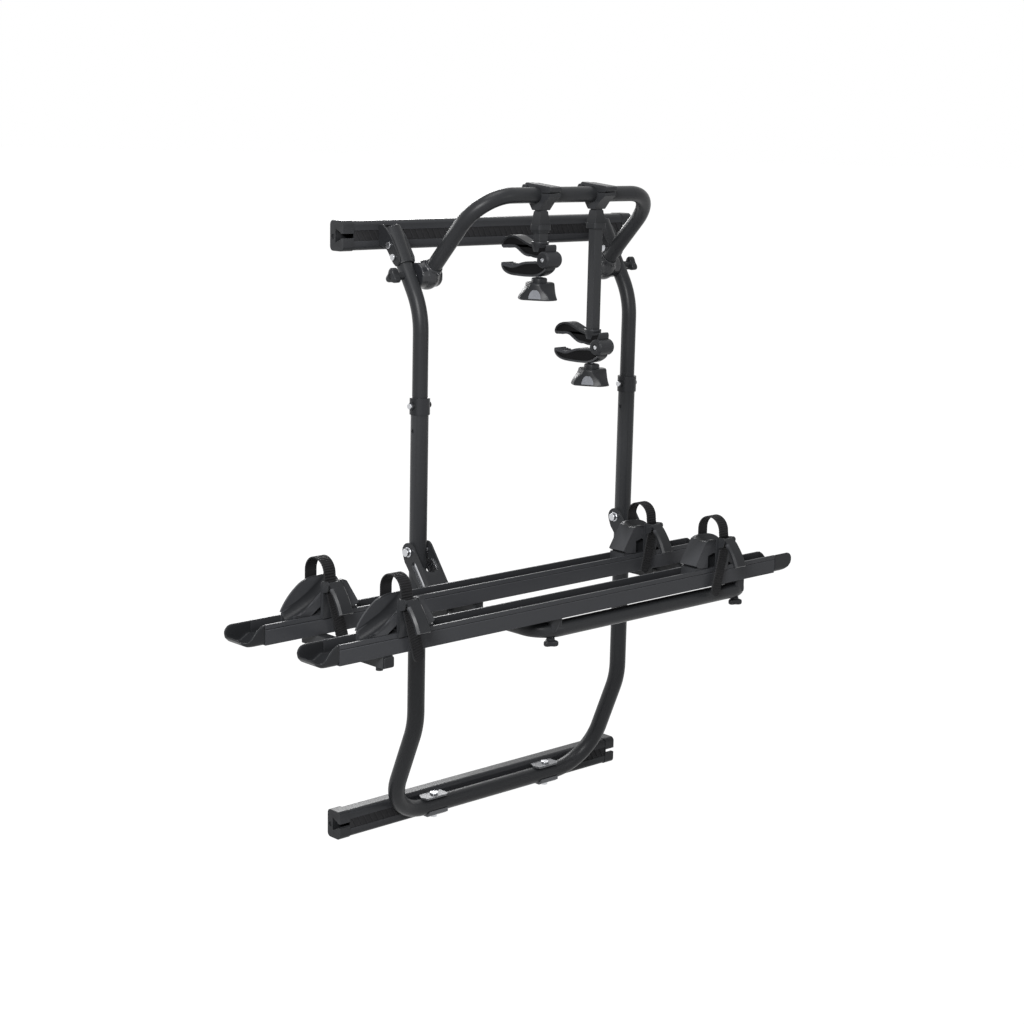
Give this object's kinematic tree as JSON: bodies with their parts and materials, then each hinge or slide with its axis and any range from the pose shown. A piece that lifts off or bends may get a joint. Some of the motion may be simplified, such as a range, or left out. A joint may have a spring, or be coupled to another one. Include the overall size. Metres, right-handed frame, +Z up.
{
  "type": "van bike carrier",
  "caption": "Rear-door van bike carrier: two crossbars joined by telescopic posts, a leaning hoop with frame-clamp arms, and a fold-up platform with sliding wheel rails.",
  "frame": {"origin": "centre of the lower crossbar's rear face, where its pad meets the van's door", "axes": "+X along the crossbars, +Y towards the van's door, +Z up"},
  "size_m": [1.268, 0.5746, 1.3268],
  "materials": {
    "black_paint": "satin black powder coat on steel tube",
    "black_alloy": "matt black anodised extrusion",
    "black_plastic": "moulded, lightly grained",
    "black_rubber": "matt rubber",
    "bright_steel": "zinc-plated fasteners",
    "zinc_plate": "zinc-plated clamp plates"
  },
  "bodies": {
    "frame": {"lower_crossbar": "black_alloy", "lower_bar_caps": "black_plastic", "lower_slot_strip": "black_rubber", "lower_rear_pad": "black_rubber", "lower_tube": "black_paint", "tube_clamps": "zinc_plate", "lower_bolts": "bright_steel", "post_collars": "black_plastic", "pivot_bolts": "bright_steel"},
    "upper_frame": {"upper_crossbar": "black_alloy", "upper_bar_caps": "black_plastic", "upper_slot_strip": "black_rubber", "upper_rear_pad": "black_rubber", "upper_tubes": "black_paint", "top_brackets": "black_paint", "upper_bolts": "bright_steel"},
    "hoop": {"hoop_tube": "black_paint", "hoop_hubs": "black_plastic"},
    "left_hoop_knob": {"left_hoop_knob": "black_plastic"},
    "right_hoop_knob": {"right_hoop_knob": "black_plastic"},
    "platform": {"pivot_brackets": "black_paint", "platform_tube": "black_paint", "platform_bolts": "bright_steel", "rail_saddles": "black_plastic"},
    "left_rail_knob": {"left_rail_knob": "black_plastic"},
    "right_rail_knob": {"right_rail_knob": "black_plastic"},
    "rails": {"front_rail": "black_alloy", "rear_rail": "black_alloy", "rail_end_caps": "black_plastic", "tie_bar": "black_paint"},
    "short_arm": {"short_arm_hanger": "black_plastic", "short_arm_tube": "black_paint", "short_upper_jaw": "black_plastic", "short_jaw_pin": "bright_steel"},
    "short_arm_lever": {"short_arm_lever": "black_plastic"},
    "short_lower_jaw": {"short_lower_jaw": "black_plastic"},
    "short_jaw_knob": {"short_jaw_knob": "black_plastic"},
    "long_arm": {"long_arm_hanger": "black_plastic", "long_arm_tube": "black_paint", "long_upper_jaw": "black_plastic", "long_jaw_pin": "bright_steel"},
    "long_arm_lever": {"long_arm_lever": "black_plastic"},
    "long_lower_jaw": {"long_lower_jaw": "black_plastic"},
    "long_jaw_knob": {"long_jaw_knob": "black_plastic"},
    "front_left_holder": {"front_left_holder": "black_plastic", "front_left_strap": "black_rubber", "front_left_buckle": "black_plastic"},
    "front_left_lever": {"front_left_lever": "black_plastic"},
    "rear_left_holder": {"rear_left_holder": "black_plastic", "rear_left_strap": "black_rubber", "rear_left_buckle": "black_plastic"},
    "rear_left_lever": {"rear_left_lever": "black_plastic"},
    "front_right_holder": {"front_right_holder": "black_plastic", "front_right_strap": "black_rubber", "front_right_buckle": "black_plastic"},
    "front_right_lever": {"front_right_lever": "black_plastic"},
    "rear_right_holder": {"rear_right_holder": "black_plastic", "rear_right_strap": "black_rubber", "rear_right_buckle": "black_plastic"},
    "rear_right_lever": {"rear_right_lever": "black_plastic"}
  },
  "joints": [
    {"name": "height_slide", "type": "slide", "parent": "frame", "child": "upper_frame", "axis": [0, 0, 1], "range_m": [-0.05, 0.12]},
    {"name": "hoop_fold", "type": "hinge", "parent": "upper_frame", "child": "hoop", "pos_m": [0, -0.1088, 1.1134], "axis": [1, 0, 0], "range_deg": [-43, 20]},
    {"name": "left_hoop_knob_spin", "type": "hinge", "parent": "upper_frame", "child": "left_hoop_knob", "pos_m": [-0.331, -0.1088, 1.1134], "axis": [1, 0, 0], "continuous": true},
    {"name": "right_hoop_knob_spin", "type": "hinge", "parent": "upper_frame", "child": "right_hoop_knob", "pos_m": [0.331, -0.1088, 1.1134], "axis": [1, 0, 0], "continuous": true},
    {"name": "short_arm_slide", "type": "slide", "parent": "hoop", "child": "short_arm", "axis": [1, 0, 0], "range_m": [-0.05, 0.045]},
    {"name": "short_arm_lever_open", "type": "hinge", "parent": "short_arm", "child": "short_arm_lever", "pos_m": [-0.085, -0.22534, 1.2873], "axis": [-1, 0, 0], "range_deg": [0, 80]},
    {"name": "short_jaw_open", "type": "hinge", "parent": "short_arm", "child": "short_lower_jaw", "pos_m": [-0.085, -0.28584, 1.1513], "axis": [-1, 0, 0], "range_deg": [-7, 18]},
    {"name": "short_jaw_knob_spin", "type": "hinge", "parent": "short_lower_jaw", "child": "short_jaw_knob", "pos_m": [-0.085, -0.25884, 1.0913], "axis": [0, 0, 1], "range_deg": [-572, 1471]},
    {"name": "long_arm_slide", "type": "slide", "parent": "hoop", "child": "long_arm", "axis": [1, 0, 0], "range_m": [-0.05, 0.07]},
    {"name": "long_arm_lever_open", "type": "hinge", "parent": "long_arm", "child": "long_arm_lever", "pos_m": [0.068, -0.22534, 1.2873], "axis": [-1, 0, 0], "range_deg": [0, 80]},
    {"name": "long_jaw_open", "type": "hinge", "parent": "long_arm", "child": "long_lower_jaw", "pos_m": [0.068, -0.28584, 0.9723], "axis": [-1, 0, 0], "range_deg": [-7, 18]},
    {"name": "long_jaw_knob_spin", "type": "hinge", "parent": "long_lower_jaw", "child": "long_jaw_knob", "pos_m": [0.068, -0.25884, 0.9123], "axis": [0, 0, 1], "range_deg": [-572, 1471]},
    {"name": "platform_fold", "type": "hinge", "parent": "frame", "child": "platform", "pos_m": [0, -0.1465, 0.5785], "axis": [-1, 0, 0], "range_deg": [0, 45]},
    {"name": "left_rail_knob_spin", "type": "hinge", "parent": "platform", "child": "left_rail_knob", "pos_m": [-0.26, -0.496, 0.4605], "axis": [0, 0, 1], "continuous": true},
    {"name": "right_rail_knob_spin", "type": "hinge", "parent": "platform", "child": "right_rail_knob", "pos_m": [0.26, -0.496, 0.4605], "axis": [0, 0, 1], "continuous": true},
    {"name": "rails_slide", "type": "slide", "parent": "platform", "child": "rails", "axis": [1, 0, 0], "range_m": [-0.02, 0.12]},
    {"name": "front_left_holder_slide", "type": "slide", "parent": "rails", "child": "front_left_holder", "axis": [1, 0, 0], "range_m": [-0.055, 0.14]},
    {"name": "front_left_lever_open", "type": "hinge", "parent": "front_left_holder", "child": "front_left_lever", "pos_m": [-0.64, -0.5365, 0.604], "axis": [-1, 0, 0], "range_deg": [0, 75]},
    {"name": "rear_left_holder_slide", "type": "slide", "parent": "rails", "child": "rear_left_holder", "axis": [1, 0, 0], "range_m": [-0.005, 0.14]},
    {"name": "rear_left_lever_open", "type": "hinge", "parent": "rear_left_holder", "child": "rear_left_lever", "pos_m": [-0.662, -0.352, 0.604], "axis": [-1, 0, 0], "range_deg": [0, 75]},
    {"name": "front_right_holder_slide", "type": "slide", "parent": "rails", "child": "front_right_holder", "axis": [1, 0, 0], "range_m": [-0.14, 0.08]},
    {"name": "front_right_lever_open", "type": "hinge", "parent": "front_right_holder", "child": "front_right_lever", "pos_m": [0.187, -0.5365, 0.604], "axis": [-1, 0, 0], "range_deg": [0, 75]},
    {"name": "rear_right_holder_slide", "type": "slide", "parent": "rails", "child": "rear_right_holder", "axis": [1, 0, 0], "range_m": [-0.14, 0.08]},
    {"name": "rear_right_lever_open", "type": "hinge", "parent": "rear_right_holder", "child": "rear_right_lever", "pos_m": [0.174, -0.352, 0.604], "axis": [-1, 0, 0], "range_deg": [0, 75]}
  ],
  "couplings": [
    {"joint": "short_jaw_open", "follows": "short_jaw_knob_spin", "ratio": 0.01224},
    {"joint": "long_jaw_open", "follows": "long_jaw_knob_spin", "ratio": 0.01224}
  ]
}
